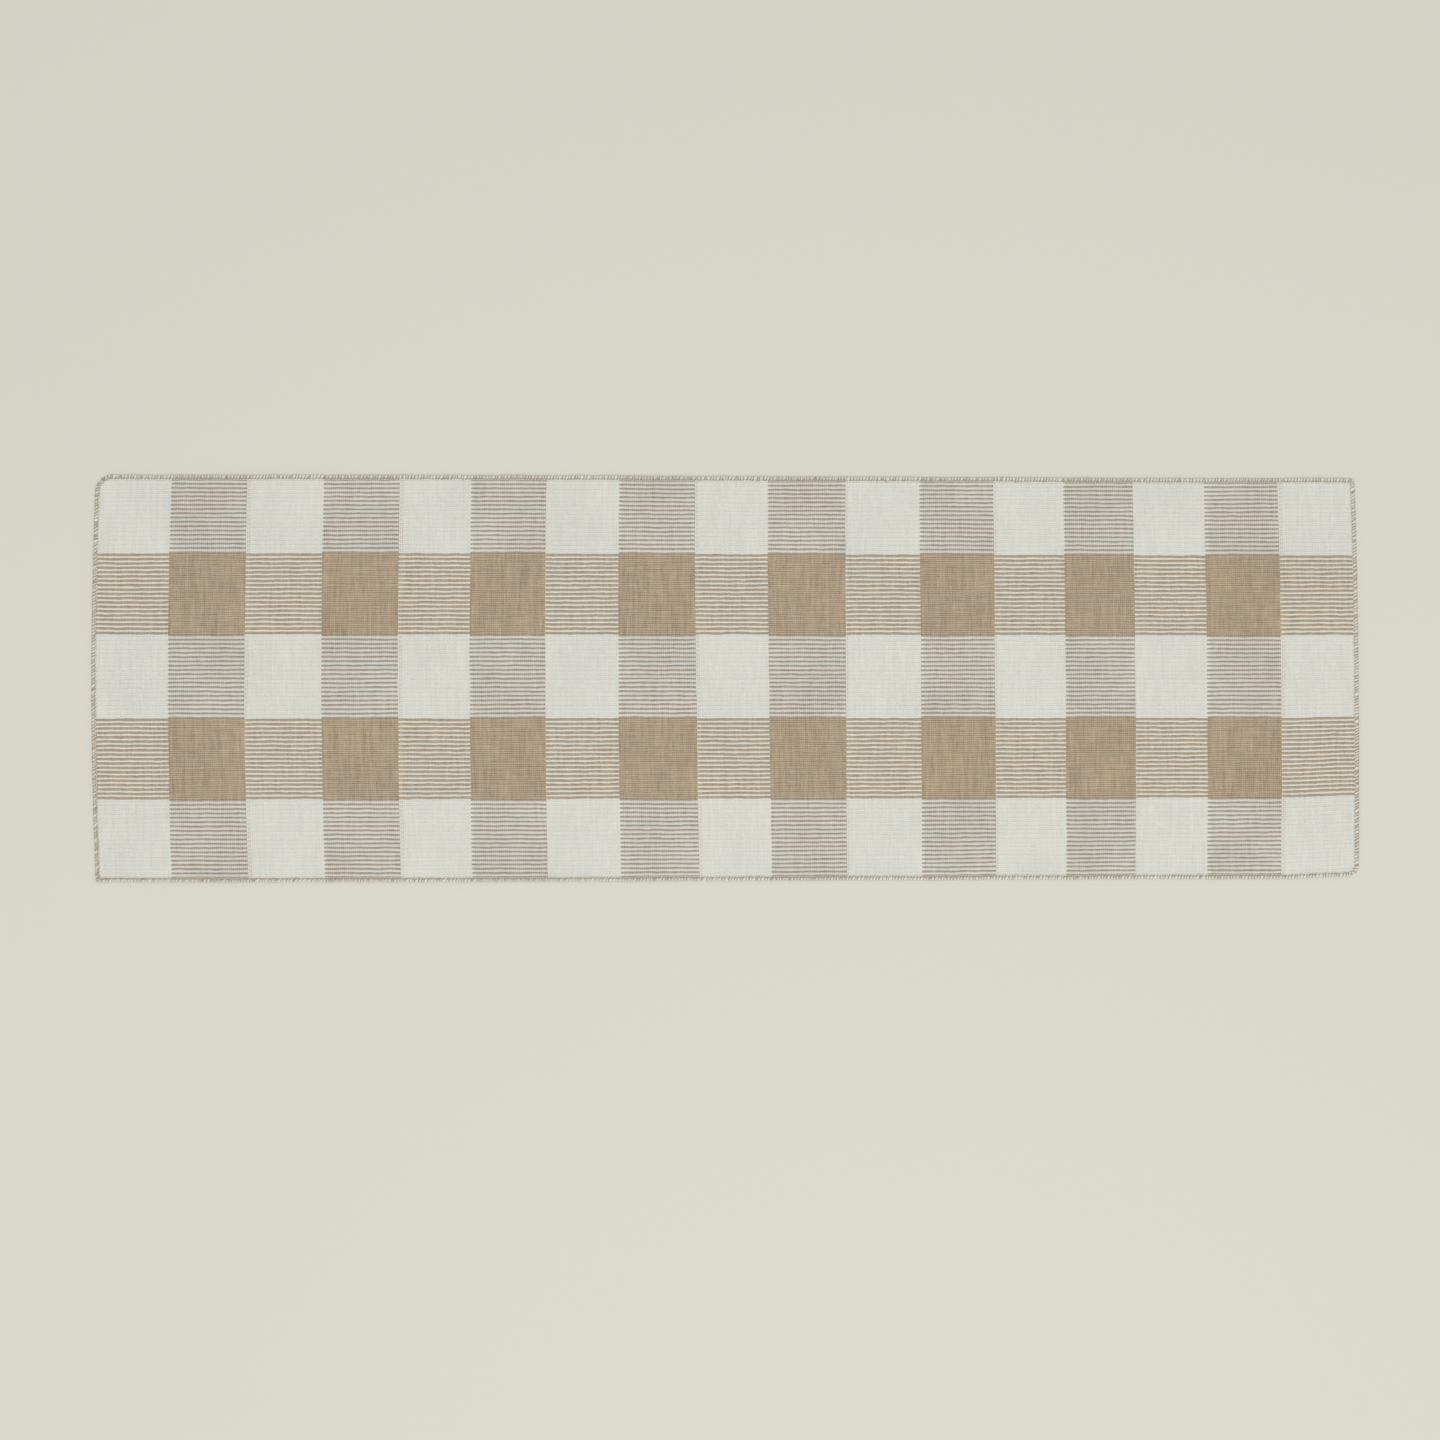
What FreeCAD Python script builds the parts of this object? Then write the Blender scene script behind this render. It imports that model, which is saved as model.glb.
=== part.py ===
import FreeCAD, Part
import math
import os
import Sketcher

# A cotton table runner in rib weave, lying flat. Thick cords run the whole length of the cloth. Fine crossing
# threads pass over one cord and under the next, and come in natural and taupe bands, as the cords do, so the
# two sets of bands make the checks. The cut edge is closed all round by a three-thread overlock seam.
#
# Millimetres. The origin is the middle of the underside, +X runs along the cloth, +Y across it and +Z up.

# Name, value and meaning of each driving dimension.
DIMENSIONS = [
    ("runner_length", 1400.0, "overall length along X"),
    ("runner_width", 450.0, "overall width along Y"),
    ("cloth_thickness", 2.2, "overall thickness of the flat cloth"),
    ("cord_pitch", 2.4, "distance from one lengthwise cord to the next"),
    ("cord_diameter", 1.7, "diameter of a lengthwise cord"),
    ("cord_clearance", 0.05, "gap between a cord and the threads that cross it"),
    ("thread_thickness", 0.4, "thickness of the layer of crossing threads"),
    ("seam_width", 5.4, "width of the overlock seam on each face"),
    ("seam_thickness", 0.2, "thickness of the seam's threads on each face"),
    ("seam_wrap", 0.4, "thickness of the seam's threads round the cut edge"),
    ("needle_line_inset", 4.5, "from the outer edge to the line of needle stitches at the seam's inner side"),
    ("corner_rear_right", 5.0, "radius of the corner at +X +Y"),
    ("corner_rear_left", 13.0, "radius of the corner at -X +Y"),
    ("corner_front_left", 3.0, "radius of the corner at -X -Y"),
    ("corner_front_right", 9.0, "radius of the corner at +X -Y"),
    ("smallest_corner", 0.5, "least radius of a line that follows a corner inside the edge"),
]

COLOURS = ("natural", "taupe")

# Lengthwise bands from the rear edge to the front edge: how many cords each one has.
CORDS_IN_ROW = (36, 37, 39, 37, 38)

# Crossing bands from the left end to the right end: the width of each one.
COLUMN_WIDTHS = (86, 84.5, 85, 84, 79.5, 83, 81, 85.5, 80.5, 84.5, 83, 81.5, 78, 76.5, 79.5, 81.5, 86.5)

# The sketch plane's X, Y and normal become the world's Y, Z and X.
ACROSS_THE_CLOTH = FreeCAD.Rotation(0.5, 0.5, 0.5, 0.5)

doc = FreeCAD.newDocument("table_runner")


def make_dimension_sheet():
    """The driving dimensions, one row each: name, value, meaning."""
    cells = doc.addObject("Spreadsheet::Sheet", "Dimensions")
    column_rows = [
        (f"column_width_{number:02d}", width, f"width of crossing band {number}")
        for number, width in enumerate(COLUMN_WIDTHS, 1)
    ]
    for line, (name, value, meaning) in enumerate(DIMENSIONS + column_rows, 1):
        cells.set(f"A{line}", name)
        cells.set(f"B{line}", str(value))
        cells.setAlias(f"B{line}", name)
        cells.set(f"C{line}", meaning)
    doc.recompute()
    return cells


dims = make_dimension_sheet()


def colour_of(index):
    """Bands take turns, natural first."""
    return COLOURS[index % 2]


def cord_is_low(cord):
    """Every other cord lies low, with the crossing threads over it. The outermost cords lie high."""
    return cord % 2 == 1


# ---- the outline of the cloth and what is cut to it


def make_outline(name, inset):
    """A rectangle with four differently rounded corners, moved inwards all round by one of the dimensions."""
    sketch = doc.addObject("Sketcher::SketchObject", name)
    moved_in = getattr(dims, inset) if inset else 0
    inset_term = f" - Dimensions.{inset}" if inset else ""
    half_length = dims.runner_length / 2 - moved_in
    half_width = dims.runner_width / 2 - moved_in
    corners = [
        ("corner_rear_right", 1, 1),
        ("corner_rear_left", -1, 1),
        ("corner_front_left", -1, -1),
        ("corner_front_right", 1, -1),
    ]
    for turn, (corner, side_x, side_y) in enumerate(corners):
        radius = max(getattr(dims, corner) - moved_in, dims.smallest_corner)
        centre = FreeCAD.Vector(side_x * (half_length - radius), side_y * (half_width - radius), 0)
        circle = Part.Circle(centre, FreeCAD.Vector(0, 0, 1), radius)
        arc = sketch.addGeometry(Part.ArcOfCircle(circle, turn * math.pi / 2, (turn + 1) * math.pi / 2))
        bound = sketch.addConstraint(Sketcher.Constraint("Radius", arc, radius))
        size = f"max(Dimensions.{corner}{inset_term}; Dimensions.smallest_corner)"
        sketch.setExpression(f"Constraints[{bound}]", size)
    # The sides are the rear, left, front and right edges, in that order.
    sides = [
        ("Horizontal", "DistanceY", "runner_width", half_width),
        ("Vertical", "DistanceX", "runner_length", -half_length),
        ("Horizontal", "DistanceY", "runner_width", -half_width),
        ("Vertical", "DistanceX", "runner_length", half_length),
    ]
    for arc, (direction, kind, size, distance) in enumerate(sides):
        following = (arc + 1) % 4
        line = Part.LineSegment(sketch.getPoint(arc, 2), sketch.getPoint(following, 1))
        side = sketch.addGeometry(line)
        sketch.addConstraint(Sketcher.Constraint("Tangent", arc, 2, side, 1))
        sketch.addConstraint(Sketcher.Constraint("Tangent", side, 2, following, 1))
        sketch.addConstraint(Sketcher.Constraint(direction, side))
        bound = sketch.addConstraint(Sketcher.Constraint(kind, -1, 1, side, 1, distance))
        sign = "-" if distance < 0 else ""
        sketch.setExpression(f"Constraints[{bound}]", f"{sign}(Dimensions.{size} / 2{inset_term})")
    return sketch


def make_prism(name, profile, bottom, top):
    """The profile extruded upwards between two heights, given as expressions."""
    prism = doc.addObject("Part::Extrusion", name)
    prism.Base = profile
    prism.DirMode = "Custom"
    prism.Dir = FreeCAD.Vector(0, 0, 1)
    prism.Solid = True
    prism.setExpression("LengthFwd", f"({top}) - ({bottom})")
    prism.setExpression("Placement.Base.z", bottom)
    return prism


def combine(kind, name, base, tool):
    """One boolean of two objects: Cut, Common or Fuse."""
    result = doc.addObject(f"Part::{kind}", name)
    result.Base = base
    result.Tool = tool
    return result


UNDERSIDE = "0"
FACE = "Dimensions.cloth_thickness"
MIDDLE = "Dimensions.cloth_thickness / 2"
SEAM_UNDERSIDE = "Dimensions.seam_thickness"
SEAM_FACE = "Dimensions.cloth_thickness - Dimensions.seam_thickness"

outline = make_outline("outline", None)
cut_edge = make_outline("cut_edge", "seam_wrap")
needle_line = make_outline("needle_line", "needle_line_inset")
seam_line = make_outline("seam_line", "seam_width")

# The cloth is full thickness inside the seam, and pressed thinner by the seam's threads out to the cut edge.
open_cloth = make_prism("open_cloth", seam_line, UNDERSIDE, FACE)
pressed_cloth = make_prism("pressed_cloth", cut_edge, SEAM_UNDERSIDE, SEAM_FACE)
cloth = combine("Fuse", "cloth", open_cloth, pressed_cloth)


# ---- the lengthwise cords


def make_cord_row(number, first_cord, cord_count):
    """One band of separate round cords, low and high in turn, running the whole length of the cloth."""
    name = f"lengthwise_cords_{number}_{colour_of(number - 1)}"
    sketch = doc.addObject("Sketcher::SketchObject", f"{name}_section")
    sketch.Placement.Rotation = ACROSS_THE_CLOTH
    radius = dims.cord_diameter / 2
    low = dims.cord_clearance + radius
    high = dims.cloth_thickness - low
    half_span = (sum(CORDS_IN_ROW) - 1) / 2
    for cord in range(first_cord, first_cord + cord_count):
        place = half_span - cord
        height = low if cord_is_low(cord) else high
        centre = FreeCAD.Vector(place * dims.cord_pitch, height, 0)
        circle = sketch.addGeometry(Part.Circle(centre, FreeCAD.Vector(0, 0, 1), radius))
        across = sketch.addConstraint(Sketcher.Constraint("DistanceX", -1, 1, circle, 3, centre.x))
        up = sketch.addConstraint(Sketcher.Constraint("DistanceY", -1, 1, circle, 3, centre.y))
        size = sketch.addConstraint(Sketcher.Constraint("Diameter", circle, dims.cord_diameter))
        low_centre = "Dimensions.cord_clearance + Dimensions.cord_diameter / 2"
        high_centre = f"Dimensions.cloth_thickness - ({low_centre})"
        sketch.setExpression(f"Constraints[{across}]", f"{place} * Dimensions.cord_pitch")
        sketch.setExpression(f"Constraints[{up}]", low_centre if cord_is_low(cord) else high_centre)
        sketch.setExpression(f"Constraints[{size}]", "Dimensions.cord_diameter")
    cords = doc.addObject("Part::Extrusion", f"{name}_uncut")
    cords.Base = sketch
    cords.DirMode = "Custom"
    cords.Dir = FreeCAD.Vector(1, 0, 0)
    cords.Symmetric = True
    cords.Solid = True
    cords.setExpression("LengthFwd", "Dimensions.runner_length")
    return combine("Common", name, cords, cloth)


def make_cord_rows():
    rows = []
    first_cord = 0
    for number, cord_count in enumerate(CORDS_IN_ROW, 1):
        rows.append(make_cord_row(number, first_cord, cord_count))
        first_cord += cord_count
    return rows


# ---- the crossing threads


def make_thread_section():
    """The section of the layer of crossing threads: over each low cord, under each high one."""
    half_width = dims.runner_width / 2
    half_span = (sum(CORDS_IN_ROW) - 1) / 2
    half_flat = dims.cord_pitch / 4
    rise = dims.cloth_thickness - dims.thread_thickness
    slope = math.atan2(rise, dims.cord_pitch - 2 * half_flat)
    mitre = dims.thread_thickness / 2 * math.tan(slope / 2)
    upper = [(half_width, dims.thread_thickness)]
    lower = [(half_width, 0)]
    for cord in range(sum(CORDS_IN_ROW)):
        middle = (half_span - cord) * dims.cord_pitch
        lift = rise if cord_is_low(cord) else 0
        outside = mitre if cord_is_low(cord) else -mitre
        for side in (1, -1):
            upper.append((middle + side * (half_flat + outside), lift + dims.thread_thickness))
            lower.append((middle + side * (half_flat - outside), lift))
    # The outermost cords lie high, so the layer ends flat beneath them at the cut edge.
    upper = [upper[0]] + upper[2:-1] + [(-half_width, dims.thread_thickness)]
    lower = [lower[0]] + lower[2:-1] + [(-half_width, 0)]
    corners = [FreeCAD.Vector(0, y, z) for y, z in upper + lower[::-1]]
    section = doc.addObject("Part::Feature", "crossing_threads_section")
    section.Shape = Part.Face(Part.makePolygon(corners + corners[:1]))
    return section


def make_thread_columns():
    """The crossing bands side by side from the left end to the right end."""
    section = make_thread_section()
    columns = []
    left = "-Dimensions.runner_length / 2"
    for number in range(1, len(COLUMN_WIDTHS) + 1):
        name = f"crossing_threads_{number:02d}_{colour_of(number - 1)}"
        band = doc.addObject("Part::Extrusion", f"{name}_uncut")
        band.Base = section
        band.DirMode = "Custom"
        band.Dir = FreeCAD.Vector(1, 0, 0)
        band.Solid = True
        band.setExpression("LengthFwd", f"Dimensions.column_width_{number:02d}")
        band.setExpression("Placement.Base.x", left)
        left = f"{band.Name}.Placement.Base.x + {band.Name}.LengthFwd"
        columns.append(combine("Common", name, band, cloth))
    return columns


# ---- the overlock seam


def make_seam():
    """The seam's threads: two loopers that meet round the cut edge, and the line of needle stitches."""
    needle_outside = make_prism("needle_outside", needle_line, SEAM_FACE, FACE)
    needle_inside = make_prism("needle_inside", seam_line, SEAM_FACE, FACE)
    needle = combine("Cut", "overlock_needle_thread", needle_outside, needle_inside)
    lower_block = make_prism("lower_block", outline, UNDERSIDE, MIDDLE)
    lower = combine("Cut", "overlock_lower_looper_thread", lower_block, cloth)
    upper_block = make_prism("upper_block", outline, MIDDLE, FACE)
    upper_shell = combine("Cut", "upper_shell", upper_block, cloth)
    upper = combine("Cut", "overlock_upper_looper_thread", upper_shell, needle)
    return [upper, lower, needle]


def check(sub_parts):
    """Stops if any object failed to build or any sub-part isn't whole solids."""
    for thing in doc.Objects:
        if "Invalid" in thing.State or "Error" in thing.State:
            raise RuntimeError(f"{thing.Name} failed: {thing.State}")
    for sub_part in sub_parts:
        shape = sub_part.Shape
        if shape.isNull() or not shape.isValid() or not shape.Solids:
            raise RuntimeError(f"{sub_part.Label} has no valid solid")


sub_parts = make_cord_rows() + make_thread_columns() + make_seam()
doc.recompute()
check(sub_parts)
os.makedirs("parts", exist_ok=True)
for sub_part in sub_parts:
    sub_part.Shape.exportStep(f"parts/{sub_part.Label}.step")
    box = sub_part.Shape.BoundBox
    print(
        f"{sub_part.Label}: {len(sub_part.Shape.Solids)} solids, {sub_part.Shape.Volume:.0f} mm3,"
        f" X {box.XMin:.1f}..{box.XMax:.1f},"
        f" Y {box.YMin:.1f}..{box.YMax:.1f},"
        f" Z {box.ZMin:.2f}..{box.ZMax:.2f}"
    )
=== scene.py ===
import math

import bpy
import numpy as np
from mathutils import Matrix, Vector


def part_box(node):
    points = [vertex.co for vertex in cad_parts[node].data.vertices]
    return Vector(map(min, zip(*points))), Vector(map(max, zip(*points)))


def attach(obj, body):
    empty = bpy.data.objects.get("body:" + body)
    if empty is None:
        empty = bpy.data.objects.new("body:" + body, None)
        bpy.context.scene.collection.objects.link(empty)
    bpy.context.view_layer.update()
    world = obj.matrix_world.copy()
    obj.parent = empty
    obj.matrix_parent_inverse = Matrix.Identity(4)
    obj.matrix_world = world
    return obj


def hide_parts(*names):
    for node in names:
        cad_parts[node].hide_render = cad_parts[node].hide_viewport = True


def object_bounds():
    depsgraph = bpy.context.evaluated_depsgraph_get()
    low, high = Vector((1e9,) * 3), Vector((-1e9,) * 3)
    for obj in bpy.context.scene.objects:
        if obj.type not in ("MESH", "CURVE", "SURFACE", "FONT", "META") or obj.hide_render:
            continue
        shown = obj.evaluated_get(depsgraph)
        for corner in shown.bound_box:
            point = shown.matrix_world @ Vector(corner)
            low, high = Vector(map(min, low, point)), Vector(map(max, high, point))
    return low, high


# A rib-weave cotton runner that lies flat. Its checks and stripes come from real interlacing: every
# crossing band is a corrugated cloth that goes over the low cords and under the high ones, and the high
# cords show between. Places are first worked out on a flat cloth, in millimetres, and settle() then moves
# them to where the lying cloth has them.

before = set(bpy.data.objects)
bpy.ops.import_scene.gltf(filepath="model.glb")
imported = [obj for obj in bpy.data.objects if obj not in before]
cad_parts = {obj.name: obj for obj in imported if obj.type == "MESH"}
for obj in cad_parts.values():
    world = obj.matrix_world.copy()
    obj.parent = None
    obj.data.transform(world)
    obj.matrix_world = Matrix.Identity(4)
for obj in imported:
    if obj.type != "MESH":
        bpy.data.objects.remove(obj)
cad_low, cad_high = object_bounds()

METRES = 0.001

# ---- the cloth and its seam: sizes in millimetres, and shares and counts

LENGTH = (cad_high.x - cad_low.x) / METRES
WIDTH = (cad_high.y - cad_low.y) / METRES
HALF_THICKNESS = (cad_high.z - cad_low.z) / METRES / 2

CORD_PITCH = 2.4
CORD_COUNT = int(WIDTH / CORD_PITCH)
CORD_HALF_WIDTH = {"natural": 1.72, "taupe": 1.37}
LOW_CORD_HALF_WIDTH = 1.0
CORD_HALF_HEIGHT = 0.74
CORD_LIFT = 0.3
CORD_SIDES = 6
CORD_STEP = 3.5
CAD_CORD_DIAMETER = 1.7

CORD_UNEVENNESS = 0.06
CORD_END_INSET = 0.3
FLATTENED_IN_SEAM = 0.4

THREAD_LAYER = 0.3
THREAD_PITCH = 2.2
UNEVEN_SPACING = 0.16
BEAD_DEPTH = 0.12
BEAD_SWAY = 0.2
WEAVE_HEIGHT = 0.82
WEAVE_FULLNESS = 0.8
LAYERS_APART_IN_SEAM = 0.7
ROW_STEP = CORD_PITCH / 3

CORNER_RADII = {(1, 1): 5.0, (-1, 1): 18.0, (-1, -1): 3.0, (1, -1): 13.0}
LEAST_RADIUS = 0.5
CLOTH_INSET = 1.1
SEAM_EDGE = 0.35
SEAM_WIDTH = 5.0
STITCH_PITCH = 3.4
SIDE_LEAN = 0.4
END_LEAN = -0.7
LOOP_HALF_WIDTH = 0.33
RUN_HALF_WIDTH = 0.2
LOOPER_HALF_HEIGHT = 0.26
LOOPER_HEIGHT_AT_EDGE = 0.25
LOOPER_HEIGHT = 1.25
LOOPER_DIP = 0.5
NEEDLE_INSET = SEAM_WIDTH - 0.1
NEEDLE_HEIGHT = 1.3
NEEDLE_DIP = 0.8
NEEDLE_HALF_WIDTH = 0.42
NEEDLE_HALF_HEIGHT = 0.2

# At its edge the seam squeezes the cloth to a share of its thickness, and it draws the cords beside the long
# sides inwards by SEAM_PULL. In the seams at the ends nothing interlaces. The two pairs, PULLED_MOST and
# PULLED_UP_TO are distances from the edge.
SQUEEZED = 0.55
SQUEEZED_UP_TO = (1.0, SEAM_WIDTH + 1.0)
SEAM_PULL = 1.0
PULLED_MOST = 4.2
PULLED_UP_TO = 50.0
WEAVE_BEGINS = (4.2, 6.4)

# ---- how the cloth lies, in millimetres, with places as shares of its half length and half width

BOW_AT_MIDDLE = 1.2
BOW_SLOPE = -3.6
BOW_FADE = 12
SLANT_AT_MIDDLE = -1.1
SLANT_SLOPE = -1.2
LOCAL_SLANT = -2.2
LOCAL_SLANT_WIDTH = 0.09
NARROW_END = 0.983
NARROWS = (-0.7, 1)
RISE_OF_FRONT_RIGHT = 2.5
RISES_ALONG = (0.88, 1)
RISES_ACROSS = (0.1, -0.5)

# Layers of noise, each with its size, the length and width of its hills, and its seed. The waves add up to
# WAVE_LIMIT at most, up or down, and it is added to them, so they lift the cloth and never lower it.
NOISE_ALONG = ((0.35, 45, 60, 21), (0.2, 9, 6, 22))
NOISE_ACROSS = ((0.35, 60, 40, 23), (0.28, 11, 7, 24), (0.22, 5, 3, 25))
WAVES = ((1.0, 260, 190, 11), (0.5, 110, 90, 12))
WAVE_HEIGHT = 0.4
WAVE_LIMIT = 1.5
WAVES_FULL_AT = 60

# ---- the camera, the light and the table, in metres

CAMERA_PLACE = (-0.0055, -0.0458, 3.757)
CAMERA_LENS_MM = 85
CAMERA_SENSOR_MM = 36
TABLE_SIZE = 24.0
TABLE_COLOUR = (0.70, 0.685, 0.597)
AMBIENT = 0.80
LIGHT_PLACE = (0.25, -1.3, 3.2)
LIGHT_SIZE = 2.5
LIGHT_POWER = 30


def mixed(low, high, share):
    """low at share 0 and high at share 1."""
    return low + (high - low) * share


def smooth_step(low, high, value):
    """0 up to low and 1 from high on, with a smooth rise between them."""
    share = np.clip((value - low) / (high - low), 0, 1)
    return share * share * (3 - 2 * share)


def smooth_noise(x, y, cell_x, cell_y, seed):
    """Smooth noise from -1 to 1 whose hills are about cell_x by cell_y millimetres."""
    x = np.asarray(x, float) / cell_x
    y = np.asarray(y, float) / cell_y
    size_x = int(2 * LENGTH / cell_x) + 8
    size_y = int(2 * LENGTH / cell_y) + 8
    knots = np.random.RandomState(seed).uniform(-1, 1, (size_x, size_y))
    column = np.floor(x).astype(int)
    row = np.floor(y).astype(int)
    across = x - column
    along = y - row
    across = across * across * (3 - 2 * across)
    along = along * along * (3 - 2 * along)
    column = column % (size_x - 1)
    row = row % (size_y - 1)
    near = mixed(knots[column, row], knots[column + 1, row], across)
    far = mixed(knots[column, row + 1], knots[column + 1, row + 1], across)
    return mixed(near, far, along)


def layered_noise(x, y, layers):
    """The sum of layers of smooth noise."""
    return sum(size * smooth_noise(x, y, length, width, seed) for size, length, width, seed in layers)


def corner_of(x, y):
    """The radius of the corner nearest to each place."""
    radius = np.empty(np.broadcast(x, y).shape)
    for (side_x, side_y), size in CORNER_RADII.items():
        radius[(np.sign(x + 1e-9) == side_x) & (np.sign(y + 1e-9) == side_y)] = size
    return radius


def edge_distance(x, y):
    """How far inside the outline each place lies, rounded corners included."""
    x, y = np.broadcast_arrays(np.asarray(x, float), np.asarray(y, float))
    radius = corner_of(x, y)
    from_end = LENGTH / 2 - np.abs(x)
    from_side = WIDTH / 2 - np.abs(y)
    in_corner = (from_end < radius) & (from_side < radius)
    round_distance = radius - np.hypot(radius - from_end, radius - from_side)
    return np.where(in_corner, round_distance, np.minimum(from_end, from_side))


def end_of_cloth(side, y, inset):
    """Where a line along the cloth at y meets the outline moved in by inset: left end (-1) or right (1)."""
    y = np.asarray(y, float)
    outer = corner_of(np.full(y.shape, float(side)), y)
    radius = np.maximum(outer - inset, LEAST_RADIUS)
    into_corner = np.clip(np.abs(y) - (WIDTH / 2 - inset - radius), 0, radius)
    return side * (LENGTH / 2 - inset - radius + np.sqrt(radius**2 - into_corner**2))


def pressed(x, y):
    """How thick the cloth is at each place, as a share: the seam squeezes it towards the edge."""
    return mixed(SQUEEZED, 1, smooth_step(*SQUEEZED_UP_TO, edge_distance(x, y)))


def drawn_in(y):
    """Where the cords and rows beside the long seams end up: the stitches draw them a little inwards."""
    from_side = WIDTH / 2 - np.abs(y)
    past_cut_edge = smooth_step(CLOTH_INSET, PULLED_MOST, from_side)
    into_cloth = smooth_step(SEAM_WIDTH, PULLED_UP_TO, from_side)
    return y - np.sign(y) * SEAM_PULL * past_cut_edge * (1 - into_cloth)


def out_of_end_seams(x):
    """0 in the seams at the two ends, where the cords lie under the crossing threads, and 1 past them."""
    return smooth_step(*WEAVE_BEGINS, LENGTH / 2 - np.abs(x))


def undulation(x, y):
    """How far the lying cloth stands off the table. Its edges rest on it."""
    height = WAVE_HEIGHT * (layered_noise(x, y, WAVES) + WAVE_LIMIT)
    return height * smooth_step(0, WAVES_FULL_AT, edge_distance(x, y))


def settle(x, y, z):
    """Moves places of the flat cloth, with z from its middle layer, to where the lying cloth has them."""
    u = x / (LENGTH / 2)
    v = y / (WIDTH / 2)
    bow = (BOW_AT_MIDDLE + BOW_SLOPE * u) * (v * v - (1 - u**BOW_FADE) / 3)
    local_slant = LOCAL_SLANT * np.exp(-((u / LOCAL_SLANT_WIDTH) ** 2))
    slant = SLANT_AT_MIDDLE + SLANT_SLOPE * u + local_slant
    narrowing = mixed(1, NARROW_END, smooth_step(*NARROWS, u))
    rise = RISE_OF_FRONT_RIGHT * smooth_step(*RISES_ALONG, u) * smooth_step(*RISES_ACROSS, v)
    along = x + bow + slant * v + layered_noise(x, y, NOISE_ALONG)
    across = y * narrowing + layered_noise(x, y, NOISE_ACROSS) + rise
    return np.stack([along, across, z + (HALF_THICKNESS + undulation(x, y))], axis=-1)


def cord_middle(number):
    """The y of a cord's middle line. Cord 0 is nearest the rear edge."""
    return ((CORD_COUNT - 1) / 2 - number) * CORD_PITCH


def cord_at(y):
    """The number of the cord nearest to y."""
    return round((CORD_COUNT - 1) / 2 - y / CORD_PITCH)


def cord_rides_high(number):
    """Whether a cord shows on the face or lies under the crossing threads."""
    return number % 2 == 0


# ---- making meshes


def make_piece(name, points, faces, material, flat):
    """One mesh from points in millimetres. flat holds each point's place on the unbent cloth or thread."""
    mesh = bpy.data.meshes.new(name)
    mesh.vertices.add(len(points))
    mesh.vertices.foreach_set("co", (np.asarray(points) * METRES).astype(np.float32).ravel())
    faces = np.asarray(faces, np.int32)
    mesh.loops.add(faces.size)
    mesh.loops.foreach_set("vertex_index", faces.ravel())
    mesh.polygons.add(len(faces))
    mesh.polygons.foreach_set("loop_start", np.arange(0, faces.size, 4, dtype=np.int32))
    mesh.polygons.foreach_set("use_smooth", np.ones(len(faces), bool))
    place = mesh.attributes.new("flat", "FLOAT_VECTOR", "POINT")
    place.data.foreach_set("vector", np.asarray(flat, np.float32).ravel())
    mesh.update(calc_edges=True)
    mesh.validate()
    mesh.materials.append(material)
    piece = bpy.data.objects.new(name, mesh)
    bpy.context.scene.collection.objects.link(piece)
    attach(piece, "root")
    return piece


def ring_faces(rings, sides, first=0):
    """Quads between consecutive rings of a tube with an even number of sides, and quads over its two ends."""
    ring, side = np.meshgrid(np.arange(rings - 1), np.arange(sides), indexing="ij")
    after = (side + 1) % sides
    near = ring * sides
    far = (ring + 1) * sides
    walls = np.stack([near + side, near + after, far + after, far + side], axis=-1)
    ends = []
    for start, order in ((0, -1), ((rings - 1) * sides, 1)):
        for step in range(1, sides - 1, 2):
            quad = [start, start + step, start + step + 1, start + step + 2]
            ends.append([start + (corner - start) % sides for corner in quad][::order])
    return np.concatenate([walls.reshape(-1, 4), np.array(ends)]) + first


# ---- materials

CORD_NODES = sorted(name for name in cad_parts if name.startswith("lengthwise_cords"))
BAND_NODES = sorted(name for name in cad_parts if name.startswith("crossing_threads"))


def yarn_of(node):
    """The colour word that ends a node's name."""
    return node.rsplit("_", 1)[1]


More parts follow.
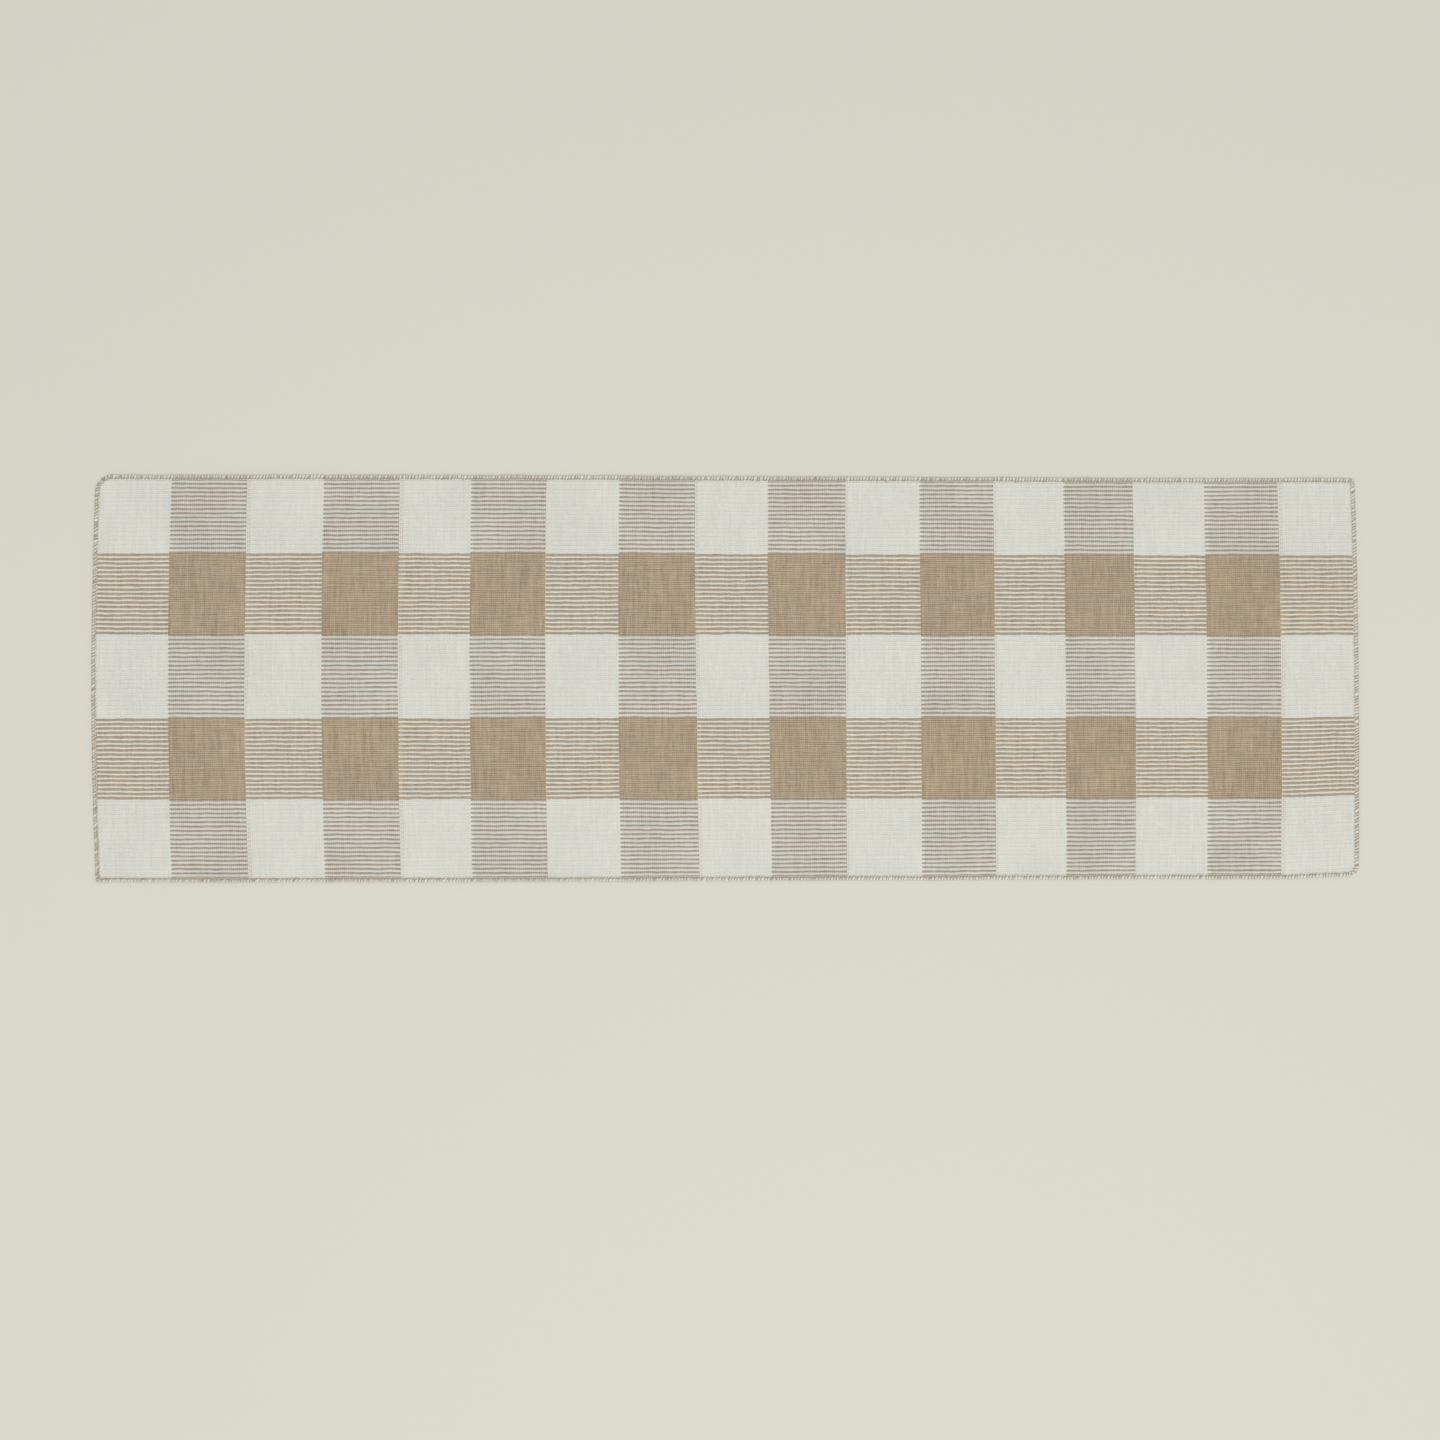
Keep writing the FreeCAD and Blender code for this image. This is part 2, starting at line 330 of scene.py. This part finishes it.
class Nodes:
    """Short names for the node calls that every material here repeats."""

    def __init__(self, name):
        self.material = bpy.data.materials.new(name)
        self.material.use_nodes = True
        self.tree = self.material.node_tree
        self.shader = self.tree.nodes["Principled BSDF"]

    def add(self, kind, **settings):
        node = self.tree.nodes.new(kind)
        for key, value in settings.items():
            setattr(node, key, value)
        return node

    def link(self, source, target):
        self.tree.links.new(source, target)

    def flat_place(self, scale_x, scale_y, scale_z=0.0):
        """The place on the flat cloth in millimetres, divided by a size along each axis."""
        place = self.add("ShaderNodeAttribute", attribute_name="flat")
        scaled = self.add("ShaderNodeVectorMath", operation="MULTIPLY")
        self.link(place.outputs["Vector"], scaled.inputs[0])
        scaled.inputs[1].default_value = (scale_x, scale_y, scale_z)
        return scaled.outputs["Vector"]

    def noise(self, place, detail=2.0, roughness=0.5):
        node = self.add("ShaderNodeTexNoise")
        self.link(place, node.inputs["Vector"])
        node.inputs["Scale"].default_value = 1.0
        node.inputs["Detail"].default_value = detail
        node.inputs["Roughness"].default_value = roughness
        return node.outputs["Fac"]

    def math(self, operation, first, second):
        node = self.add("ShaderNodeMath", operation=operation)
        for socket, value in zip(node.inputs, (first, second), strict=False):
            if isinstance(value, (int, float)):
                socket.default_value = value
            else:
                self.link(value, socket)
        return node.outputs["Value"]

    def total(self, *values):
        result = values[0]
        for value in values[1:]:
            result = self.math("ADD", result, value)
        return result

    def flat_axis(self, axis):
        """X or Y of the flat place, or as Z the number of the group of threads there."""
        place = self.add("ShaderNodeAttribute", attribute_name="flat")
        split = self.add("ShaderNodeSeparateXYZ")
        self.link(place.outputs["Vector"], split.inputs["Vector"])
        return split.outputs[axis]

    # On crossing threads these grooves also carry painted shade, in cotton().
    def group_lines(self, sharpness):
        """1 along the grooves between groups of crossing threads, where binding threads run, 0 elsewhere."""
        wander = self.noise(self.flat_place(1 / 5, 1 / 3), detail=1.0)
        group = self.math("ADD", self.flat_axis("Z"), self.math("MULTIPLY", wander, 0.3))
        wave = self.math("COSINE", self.math("MULTIPLY", group, 2 * math.pi), 0.0)
        return self.math("POWER", self.math("MULTIPLY", self.math("ADD", wave, 1.0), 0.5), sharpness)

    # The mask of the painted shade, and of the painted light, in the grooves beside the high cords.
    def beside_high_cords(self):
        """0 where crossing threads top the low cords, and 1 where they go down beside the high ones."""
        phase = self.math("MULTIPLY", self.flat_axis("Y"), math.pi / CORD_PITCH)
        phase = self.math("SUBTRACT", phase, math.pi * cord_middle(1) / CORD_PITCH)
        wave = self.math("COSINE", phase, 0.0)
        return self.math("SUBTRACT", 1.0, self.math("MAXIMUM", wave, 0.0))

    def swing(self, noise, size):
        """Noise from 0 to 1 turned into a change from about -size to size."""
        return self.math("MULTIPLY", self.math("SUBTRACT", noise, 0.5), 4 * size)

    def tinted(self, colour, change):
        """A colour, or the colour from a node, made lighter or darker by a share."""
        node = self.add("ShaderNodeVectorMath", operation="SCALE")
        if isinstance(colour, tuple):
            node.inputs[0].default_value = colour
        else:
            self.link(colour, node.inputs[0])
        self.link(self.math("ADD", change, 1.0), node.inputs["Scale"])
        return node.outputs["Vector"]

    def steps(self, axis, size, bands):
        """Bands of colour along one axis of the flat cloth, from pairs of where one begins and its colour."""
        ramp = self.add("ShaderNodeValToRGB")
        ramp.color_ramp.interpolation = "CONSTANT"
        share = self.math("ADD", self.math("DIVIDE", self.flat_axis(axis), size), 0.5)
        self.link(share, ramp.inputs["Fac"])
        stops = ramp.color_ramp.elements
        for number, (begins, colour) in enumerate(bands):
            stop = stops[0] if number == 0 else stops.new(begins / size + 0.5)
            stop.color = (*colour, 1)
        stops.remove(stops[-1])
        return ramp.outputs["Color"]

    def bump(self, height, distance, strength):
        node = self.add("ShaderNodeBump")
        node.inputs["Distance"].default_value = distance * METRES
        node.inputs["Strength"].default_value = strength
        self.link(height, node.inputs["Height"])
        self.link(node.outputs["Normal"], self.shader.inputs["Normal"])


def cotton(name, colour, bands, streak, ribs, mottle, shade=0.0, binding=None, cover=0.0):
    """Matt cotton with uneven dyeing and loose fibres, in the bands of colour given for steps().

    On crossing threads, groups stand apart by fine grooves with painted shade in them. shade says how much
    painted shade darkens the threads where they go down beside the high cords; less than 0 paints light there
    instead, to lift the shade that falls in those grooves. On cords, binding threads in the bands of colour
    in binding run over them instead and hide them by cover."""
    nodes = Nodes(name)
    threads = nodes.noise(nodes.flat_place(1 / 0.8, 1 / 14), detail=1.0)
    groups = nodes.noise(nodes.flat_place(1 / 3.2, 1 / 45), detail=1.0)
    rows = nodes.noise(nodes.flat_place(1 / 30, 1 / 2.4), detail=1.0)
    clouds = nodes.noise(nodes.flat_place(1 / 24, 1 / 16), detail=2.0)
    fibres = nodes.noise(nodes.flat_place(1 / 0.5, 1 / 0.9), detail=3.0, roughness=0.7)
    places_seen = nodes.noise(nodes.flat_place(1 / 70, 1 / 90), detail=1.0)
    seen = nodes.total(nodes.swing(places_seen, 0.6), 1.0)
    lines = nodes.math("MULTIPLY", nodes.group_lines(sharpness=2.5), seen)
    change = nodes.total(
        nodes.swing(threads, streak),
        nodes.swing(groups, streak),
        # painted shade in the grooves beside the high cords; a shade below 0 paints light there instead
        nodes.math("MULTIPLY", nodes.beside_high_cords(), -shade),
        nodes.swing(rows, ribs),
        nodes.swing(clouds, mottle),
        nodes.swing(fibres, mottle * 1.5),
        # darker along the group lines: on crossing threads this is painted shade in the grooves between
        # groups
        nodes.math("MULTIPLY", lines, -streak if binding is None else -streak * 0.5),
    )
    surface = nodes.steps(*bands)
    height = nodes.total(nodes.math("MULTIPLY", threads, 0.5), nodes.math("MULTIPLY", fibres, 0.4))
    if binding is None:
        height = nodes.total(height, nodes.math("MULTIPLY", lines, -1.0))
    else:
        height = nodes.total(height, lines)
        blend = nodes.add("ShaderNodeMix", data_type="RGBA")
        nodes.link(nodes.math("MULTIPLY", lines, cover), blend.inputs["Factor"])
        nodes.link(surface, blend.inputs["A"])
        nodes.link(nodes.steps(*binding), blend.inputs["B"])
        surface = blend.outputs["Result"]
    nodes.shader.inputs["Base Color"].default_value = (*colour, 1)
    nodes.link(nodes.tinted(surface, change), nodes.shader.inputs["Base Color"])
    nodes.link(nodes.total(nodes.swing(fibres, 0.03), 0.92), nodes.shader.inputs["Roughness"])
    nodes.bump(height, distance=0.3, strength=0.6)
    nodes.shader.inputs["Sheen Weight"].default_value = 0.15
    nodes.shader.inputs["Sheen Roughness"].default_value = 0.6
    nodes.shader.inputs["Specular IOR Level"].default_value = 0.2
    return nodes.material


def sewing_thread(name, colour):
    """Spun thread with twisted plies and a little shine, whose stitches differ in shade.

    Its flat place is how far along the thread, how far round it, and the stitch's number."""
    nodes = Nodes(name)
    twist = nodes.add("ShaderNodeTexWave", wave_type="BANDS", bands_direction="DIAGONAL")
    nodes.link(nodes.flat_place(1.2, 1.2), twist.inputs["Vector"])
    twist.inputs["Scale"].default_value = 0.35
    twist.inputs["Distortion"].default_value = 0.6
    shades = nodes.noise(nodes.flat_place(1 / 2.0, 0, 0.37), detail=1.0)
    fibres = nodes.noise(nodes.flat_place(1 / 0.25, 1 / 0.5, 1.0), detail=2.0)
    change = nodes.total(
        nodes.swing(shades, 0.16),
        nodes.swing(fibres, 0.05),
        nodes.swing(twist.outputs["Fac"], 0.05),
    )
    nodes.shader.inputs["Base Color"].default_value = (*colour, 1)
    nodes.link(nodes.tinted(colour, change), nodes.shader.inputs["Base Color"])
    nodes.link(nodes.total(nodes.swing(fibres, 0.04), 0.8), nodes.shader.inputs["Roughness"])
    nodes.bump(nodes.total(twist.outputs["Fac"], fibres), distance=0.1, strength=0.6)
    nodes.shader.inputs["Sheen Weight"].default_value = 0.1
    nodes.shader.inputs["Specular IOR Level"].default_value = 0.3
    return nodes.material


NATURAL_COLOUR = (0.722, 0.722, 0.660)
TAUPE_CORD_COLOUR = (0.476, 0.373, 0.249)
TAUPE_THREAD_COLOUR = (0.500, 0.393, 0.276)
NATURAL_LOOK = {"streak": 0.036, "ribs": 0.004, "mottle": 0.008}
TAUPE_LOOK = {"streak": 0.115, "ribs": 0.09, "mottle": 0.02}

# Between yarns of the other colour each yarn is painted with light and shade: taupe yarn is painted darker,
# as painted shade from the plumper natural yarns beside it, and natural yarn a little darker and creamier, as
# painted shade and painted light bounced off the taupe yarns beside it. So each has two colours: one where
# natural yarns cross it and one where taupe yarns do.
NATURAL_CORDS = {"natural": NATURAL_COLOUR, "taupe": (0.697, 0.692, 0.640)}
TAUPE_CORDS = {"natural": (0.395, 0.312, 0.212), "taupe": TAUPE_CORD_COLOUR}
NATURAL_THREADS = {"natural": NATURAL_COLOUR, "taupe": (0.722, 0.702, 0.610)}
TAUPE_THREADS = {"natural": (0.412, 0.350, 0.275), "taupe": TAUPE_THREAD_COLOUR}
BINDING_THREADS = {"natural": NATURAL_COLOUR, "taupe": TAUPE_THREAD_COLOUR}


def columns_of(colours):
    """What steps() needs to give each crossing band its colour, from the left end to the right end."""
    return "X", LENGTH, [(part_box(node)[0].x / METRES, colours[yarn_of(node)]) for node in BAND_NODES]


def rows_of(colours):
    """What steps() needs to give each band of cords its colour, from the front edge to the rear edge."""
    front_to_rear = reversed(CORD_NODES)
    return "Y", WIDTH, [(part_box(node)[0].y / METRES, colours[yarn_of(node)]) for node in front_to_rear]


BINDING = columns_of(BINDING_THREADS)

THREAD_MATERIALS = {
    "natural": cotton(
        "natural_crossing_cotton",
        NATURAL_COLOUR,
        rows_of(NATURAL_THREADS),
        # shade below 0: painted light in the grooves beside the high cords, to lift the shade that falls
        # there
        shade=-0.13,
        **NATURAL_LOOK,
    ),
    "taupe": cotton(
        "taupe_crossing_cotton",
        TAUPE_THREAD_COLOUR,
        rows_of(TAUPE_THREADS),
        # painted shade in the grooves beside the high cords
        shade=0.34,
        **TAUPE_LOOK,
    ),
}
CORD_MATERIALS = {
    "natural": cotton(
        "natural_cord_cotton",
        NATURAL_COLOUR,
        columns_of(NATURAL_CORDS),
        binding=BINDING,
        cover=0.5,
        **NATURAL_LOOK,
    ),
    "taupe": cotton(
        "taupe_cord_cotton",
        TAUPE_CORD_COLOUR,
        columns_of(TAUPE_CORDS),
        binding=BINDING,
        cover=0.2,
        **TAUPE_LOOK,
    ),
}
LOOPER_MATERIAL = sewing_thread("looper_thread", (0.42, 0.345, 0.245))
NEEDLE_MATERIAL = sewing_thread("needle_thread", (0.69, 0.68, 0.61))


# ---- the weave


def weave_height(y):
    """The crossing threads' middle line: under the cords that ride high and over the others."""
    phase = np.pi * (y - cord_middle(0)) / CORD_PITCH
    wave = -np.cos(phase)
    return WEAVE_HEIGHT * np.sign(wave) * np.abs(wave) ** WEAVE_FULLNESS


def group_columns():
    """For each crossing band: its two ends, and for each line of its mesh along Y, two to a group of threads,
    the share of the band's width at which it lies and the number of the group."""
    noise = np.random.RandomState(31)
    columns = {}
    first = 0
    for node in BAND_NODES:
        low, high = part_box(node)
        groups = round((high.x - low.x) / METRES / THREAD_PITCH)
        share = np.linspace(0, 1, 2 * groups + 1)
        share[1:-1] += noise.uniform(-UNEVEN_SPACING, UNEVEN_SPACING, share.size - 2) / share.size
        columns[node] = (low.x / METRES, high.x / METRES, share, first + np.arange(share.size) / 2)
        first += groups
    return columns


COLUMNS = group_columns()
COLUMN_PLACES = np.concatenate([mixed(low, high, share) for low, high, share, _ in COLUMNS.values()])
COLUMN_NUMBERS = np.concatenate([numbers for _, _, _, numbers in COLUMNS.values()])


def make_crossing_band(node):
    """One colour band of crossing threads as a closed corrugated cloth, and the band's width in metres."""
    low_x, high_x, share, groups = COLUMNS[node]
    number = BAND_NODES.index(node)
    noise = np.random.RandomState(1000 + number)
    top_y = WIDTH / 2 - CLOTH_INSET
    inner_rows = np.arange(int(-top_y / ROW_STEP), int(top_y / ROW_STEP) + 1) * ROW_STEP
    y = np.concatenate([[-top_y], inner_rows[np.abs(inner_rows) < top_y - ROW_STEP / 3], [top_y]])

    start = np.full(y.shape, low_x)
    finish = np.full(y.shape, high_x)
    if number == 0:
        start = end_of_cloth(-1, y, CLOTH_INSET)
    if number == len(BAND_NODES) - 1:
        finish = end_of_cloth(1, y, CLOTH_INSET)
    x = mixed(start[None, :], finish[None, :], share[:, None])
    y = np.broadcast_to(y, x.shape)

    plump = np.where(np.arange(share.size) % 2 == 1, 1, -1) * noise.uniform(0.4, 1, share.size)
    bead = BEAD_DEPTH * plump[:, None] * (0.7 + 0.3 * smooth_noise(x, y, 2.0, CORD_PITCH, 50 + number))
    sway = BEAD_SWAY * smooth_noise(x, y, 1.1, CORD_PITCH / 2, 80 + number)
    height = mixed(LAYERS_APART_IN_SEAM / 2, weave_height(y + sway), out_of_end_seams(x))
    slope = np.gradient(height, axis=1) / np.gradient(y, axis=1)
    steep = np.hypot(1, slope)
    squeeze = pressed(x, y)
    layers = []
    for side in (1, -1):
        offset = side * (THREAD_LAYER / 2 + bead)
        layer_y = np.clip(y - offset * slope / steep, -top_y, top_y)
        layers.append(settle(x, drawn_in(layer_y), (height + offset / steep) * squeeze))

    columns, rows = x.shape
    column, row = np.meshgrid(np.arange(columns - 1), np.arange(rows - 1), indexing="ij")
    first = (column * rows + row).ravel()
    face = np.stack([first, first + rows, first + rows + 1, first + 1], axis=-1)
    back = face[:, ::-1] + columns * rows
    rim = np.concatenate([
        np.arange(columns - 1) * rows,
        (columns - 1) * rows + np.arange(rows - 1),
        np.arange(columns - 1, 0, -1) * rows + rows - 1,
        np.arange(rows - 1, 0, -1),
    ])
    after = np.roll(rim, -1)
    walls = np.stack([after, rim, rim + columns * rows, after + columns * rows], axis=-1)
    points = np.concatenate([layer.reshape(-1, 3) for layer in layers])
    flat = np.stack(np.broadcast_arrays(x, y, groups[:, None]), axis=-1).reshape(-1, 3)
    flat = np.concatenate([flat, flat])
    yarn = yarn_of(node)
    faces = np.concatenate([face, back, walls])
    piece = make_piece(f"woven_{node}", points, faces, THREAD_MATERIALS[yarn], flat)
    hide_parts(node)
    return piece, (high_x - low_x) * METRES


def make_cords(node):
    """One colour band of lengthwise cords: soft tubes, wider than high, that ride high and low in turn."""
    low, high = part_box(node)
    first = cord_at(high.y / METRES - CAD_CORD_DIAMETER / 2)
    last = cord_at(low.y / METRES + CAD_CORD_DIAMETER / 2)
    yarn = yarn_of(node)
    points, faces, flat = [], [], []
    angle = (np.arange(CORD_SIDES) + 0.5) * 2 * np.pi / CORD_SIDES
    for number in range(first, last + 1):
        noise = np.random.RandomState(2000 + number)
        middle = cord_middle(number)
        ends = [end_of_cloth(side, np.array(middle), CLOTH_INSET + CORD_END_INSET) for side in (-1, 1)]
        rings = int((ends[1] - ends[0]) / CORD_STEP)
        x = np.linspace(ends[0], ends[1], rings)[:, None]
        if cord_rides_high(number):
            lift = CORD_LIFT
            half_width = CORD_HALF_WIDTH[yarn]
        else:
            lift = -CORD_LIFT
            half_width = LOW_CORD_HALF_WIDTH
        uneven = 1 + noise.uniform(-CORD_UNEVENNESS, CORD_UNEVENNESS, (rings, 1))
        y = middle + half_width * uneven * np.cos(angle)
        z = lift + CORD_HALF_HEIGHT * np.sin(angle) + np.zeros((rings, 1))
        x = np.broadcast_to(x, y.shape)
        in_seam = FLATTENED_IN_SEAM * (z - lift) - LAYERS_APART_IN_SEAM / 2
        z = mixed(in_seam, z, out_of_end_seams(x))
        placed = settle(x, drawn_in(y), z * pressed(x, y))
        faces.append(ring_faces(rings, CORD_SIDES, sum(len(block) for block in points)))
        points.append(placed.reshape(-1, 3))
        group = np.interp(x, COLUMN_PLACES, COLUMN_NUMBERS)
        flat.append(np.stack([x, y, group], axis=-1).reshape(-1, 3))
    points, faces, flat = (np.concatenate(blocks) for blocks in (points, faces, flat))
    piece = make_piece(f"woven_{node}", points, faces, CORD_MATERIALS[yarn], flat)
    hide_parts(node)


# ---- the overlock seam
# A place round the outline is a station. The outline has 8 parts, sides and corners in turn: 0 to 1 is the
# front side, 1 to 2 the front right corner, 2 to 3 the right end, and so on.

OUTLINE_PARTS = 8
STATIONS_IN_PART = 64


def outline_point(station, inset):
    """Places on the outline moved in by inset. At any inset, a station is the same share of its part."""
    station = np.asarray(station, float) % OUTLINE_PARTS
    inset = np.broadcast_to(np.asarray(inset, float), station.shape)
    corner_signs = np.array([(1, -1), (1, 1), (-1, 1), (-1, -1)])
    outer_radius = np.array([CORNER_RADII[tuple(signs)] for signs in corner_signs])

    def on_corner(corner, share):
        signs = corner_signs[corner]
        radius = np.maximum(outer_radius[corner] - inset, LEAST_RADIUS)
        angle = (corner - 1 + share) * np.pi / 2
        x = signs[:, 0] * (LENGTH / 2 - inset - radius) + radius * np.cos(angle)
        y = signs[:, 1] * (WIDTH / 2 - inset - radius) + radius * np.sin(angle)
        return x, y

    part = np.floor(station).astype(int)
    share = station - part
    corner = part // 2
    start_x, start_y = on_corner((corner - 1) % 4, np.ones_like(share))
    end_x, end_y = on_corner(corner, np.zeros_like(share))
    arc_x, arc_y = on_corner(corner, share)
    straight = part % 2 == 0
    x = np.where(straight, mixed(start_x, end_x, share), arc_x)
    y = np.where(straight, mixed(start_y, end_y, share), arc_y)
    return x, y


OUTLINE_STATIONS = np.linspace(0, OUTLINE_PARTS, OUTLINE_PARTS * STATIONS_IN_PART + 1)
OUTLINE_X, OUTLINE_Y = outline_point(np.minimum(OUTLINE_STATIONS, OUTLINE_PARTS - 1e-9), 0)
OUTLINE_RUN = np.concatenate([[0], np.cumsum(np.hypot(np.diff(OUTLINE_X), np.diff(OUTLINE_Y)))])
ALL_ROUND = OUTLINE_RUN[-1]
STITCHES = round(ALL_ROUND / STITCH_PITCH)


def stations_of(distance):
    """Stations at distances along the outline. Distances go on past one time round, in both directions."""
    within = np.interp(np.mod(distance, ALL_ROUND), OUTLINE_RUN, OUTLINE_STATIONS)
    return within + OUTLINE_PARTS * np.floor(distance / ALL_ROUND)


def make_thread(name, node, material, distance, inset, height, half_width, half_height, sides):
    """A closed thread all the way round the seam, as one flattened tube through the given places."""
    x, y = outline_point(stations_of(distance), inset)
    centre = np.stack([x, y, height * pressed(x, y)], axis=-1)
    ahead = np.roll(centre, -1, axis=0) - np.roll(centre, 1, axis=0)
    ahead[:, 2] = 0
    ahead /= np.linalg.norm(ahead, axis=1, keepdims=True) + 1e-9
    across = np.stack([-ahead[:, 1], ahead[:, 0], np.zeros(len(x))], axis=-1)
    angle = (np.arange(sides) + 0.5) * 2 * np.pi / sides
    ring = centre[:, None, :] + across[:, None, :] * (half_width[:, None] * np.cos(angle))[:, :, None]
    ring[:, :, 2] += half_height * np.sin(angle)
    points = settle(ring[:, :, 0], ring[:, :, 1], ring[:, :, 2]).reshape(-1, 3)

    rings = len(x)
    first, side = np.meshgrid(np.arange(rings), np.arange(sides), indexing="ij")
    after = (side + 1) % sides
    near = first * sides
    far = (first + 1) % rings * sides
    faces = np.stack([near + side, near + after, far + after, far + side], axis=-1).reshape(-1, 4)

    run = np.concatenate([[0], np.cumsum(np.linalg.norm(np.diff(centre, axis=0), axis=1))])
    stitch = np.floor(distance / STITCH_PITCH)
    places = np.broadcast_arrays(run[:, None], angle * half_width[:, None], stitch[:, None])
    flat = np.stack(places, axis=-1).reshape(-1, 3)
    piece = make_piece(name, points, faces, material, flat)
    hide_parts(node)


def looper_route():
    """Distance along the seam, depth in from the edge and half width at each point of a looper thread.

    Each stitch is a narrow loop from its needle hole to the edge and back, and then a run to the next hole.
    Depth is 0 at the edge and 1 at the needle line. Seen from above, the route goes round clockwise."""
    noise = np.random.RandomState(71)
    pitch = ALL_ROUND / STITCHES
    depth = np.array([[1.0, 0.88, 0.64, 0.38, 0.14, 0.03, 0.0, 0.03, 0.14, 0.38, 0.64, 0.88, 0.97, 0.97]])
    opened = np.array([[0.0, 0.0, 0.0, 0.0, 0.0, 0.15, 0.5, 0.85, 1.0, 1.0, 1.0, 1.0, 1.0, 1.0]])
    onward = np.array([[0.0, 0.0, 0.0, 0.0, 0.0, 0.0, 0.0, 0.0, 0.0, 0.0, 0.0, 0.0, 0.2, 0.6]])
    number = np.arange(STITCHES)[:, None]
    station = stations_of(-number * pitch)
    on_end = np.floor(station % OUTLINE_PARTS / 2 + 0.25).astype(int) % 2 == 1
    lean = np.where(on_end, END_LEAN, SIDE_LEAN) + noise.normal(0, 0.19, (STITCHES, 1))
    opening = np.abs(noise.normal(0.17, 0.08, (STITCHES, 1)))
    shift = noise.normal(0, 0.07, (STITCHES, 1))
    reach = 1 + noise.normal(0, 0.06, (STITCHES, 1))
    thickness = 1 + noise.normal(0, 0.12, (STITCHES, 1))
    along = opened * opening + onward + lean * (1 - depth) + shift
    distance = -(number + along) * pitch
    half_width = mixed(LOOP_HALF_WIDTH, RUN_HALF_WIDTH, onward / onward.max()) * thickness
    return distance.ravel(), (depth * reach).ravel(), half_width.ravel()


def make_looper(name, node, side):
    """The loops of one looper thread, on the face (1) or the back (-1). The two meet at the edge."""
    distance, depth, half_width = looper_route()
    rise = smooth_step(0.0, 0.3, depth)
    dip = smooth_step(0.85, 1.0, depth)
    height = side * (mixed(LOOPER_HEIGHT_AT_EDGE, LOOPER_HEIGHT, rise) - LOOPER_DIP * dip)
    inset = mixed(SEAM_EDGE, SEAM_WIDTH, depth)
    make_thread(name, node, LOOPER_MATERIAL, distance, inset, height, half_width, LOOPER_HALF_HEIGHT, 6)


def make_needle_thread(name, node):
    """Short stitches along the seam's inner side that sink into their holes."""
    noise = np.random.RandomState(77)
    along = np.array([[0.0, 0.12, 0.35, 0.65, 0.88]])
    sunk = np.array([[1.0, 0.45, 0.0, 0.0, 0.45]])
    distance = -(np.arange(STITCHES)[:, None] + along) * ALL_ROUND / STITCHES
    inset = NEEDLE_INSET + noise.normal(0, 0.08, (STITCHES, 1))
    height = NEEDLE_HEIGHT - NEEDLE_DIP * sunk
    half_width = NEEDLE_HALF_WIDTH * (1 - 0.35 * sunk)
    places = [part.ravel() for part in np.broadcast_arrays(distance, inset, height, half_width)]
    make_thread(name, node, NEEDLE_MATERIAL, *places, NEEDLE_HALF_HEIGHT, 5)


# ---- the camera, the light and the table


def make_camera():
    """A camera straight above that looks down."""
    data = bpy.data.cameras.new("camera")
    data.lens = CAMERA_LENS_MM
    data.sensor_width = CAMERA_SENSOR_MM
    camera = bpy.data.objects.new("camera", data)
    camera.location = CAMERA_PLACE
    bpy.context.scene.collection.objects.link(camera)
    bpy.context.scene.camera = camera


def make_table():
    """The plain pale surface that the runner lies on."""
    mesh = bpy.data.meshes.new("table_top")
    half = TABLE_SIZE / 2
    corners = [(-half, -half, 0), (half, -half, 0), (half, half, 0), (-half, half, 0)]
    mesh.from_pydata(corners, [], [(0, 1, 2, 3)])
    table = bpy.data.objects.new("table_top", mesh)
    bpy.context.scene.collection.objects.link(table)
    nodes = Nodes("table_top")
    nodes.shader.inputs["Base Color"].default_value = (*TABLE_COLOUR, 1)
    nodes.shader.inputs["Roughness"].default_value = 0.85
    nodes.shader.inputs["Specular IOR Level"].default_value = 0.2
    mesh.materials.append(nodes.material)


def make_light():
    """Even light from all sides, and a large soft lamp in front, so the table is a little brighter there."""
    scene = bpy.context.scene
    scene.view_settings.view_transform = "Standard"
    world = bpy.data.worlds.new("studio")
    world.use_nodes = True
    world.node_tree.nodes["Background"].inputs["Color"].default_value = (1, 1, 1, 1)
    world.node_tree.nodes["Background"].inputs["Strength"].default_value = AMBIENT
    scene.world = world
    data = bpy.data.lights.new("softbox", "AREA")
    data.shape = "SQUARE"
    data.size = LIGHT_SIZE
    data.energy = LIGHT_POWER
    light = bpy.data.objects.new("softbox", data)
    light.location = LIGHT_PLACE
    scene.collection.objects.link(light)
    light.rotation_euler = (-light.location).to_track_quat("-Z", "Y").to_euler()


make_camera()
make_light()
make_table()

for node in CORD_NODES:
    make_cords(node)
make_looper("looper_stitches_on_the_face", "overlock_upper_looper_thread", 1)
make_looper("looper_stitches_on_the_back", "overlock_lower_looper_thread", -1)
make_needle_thread("needle_stitches", "overlock_needle_thread")
for node in BAND_NODES:
    band, band_width = make_crossing_band(node)
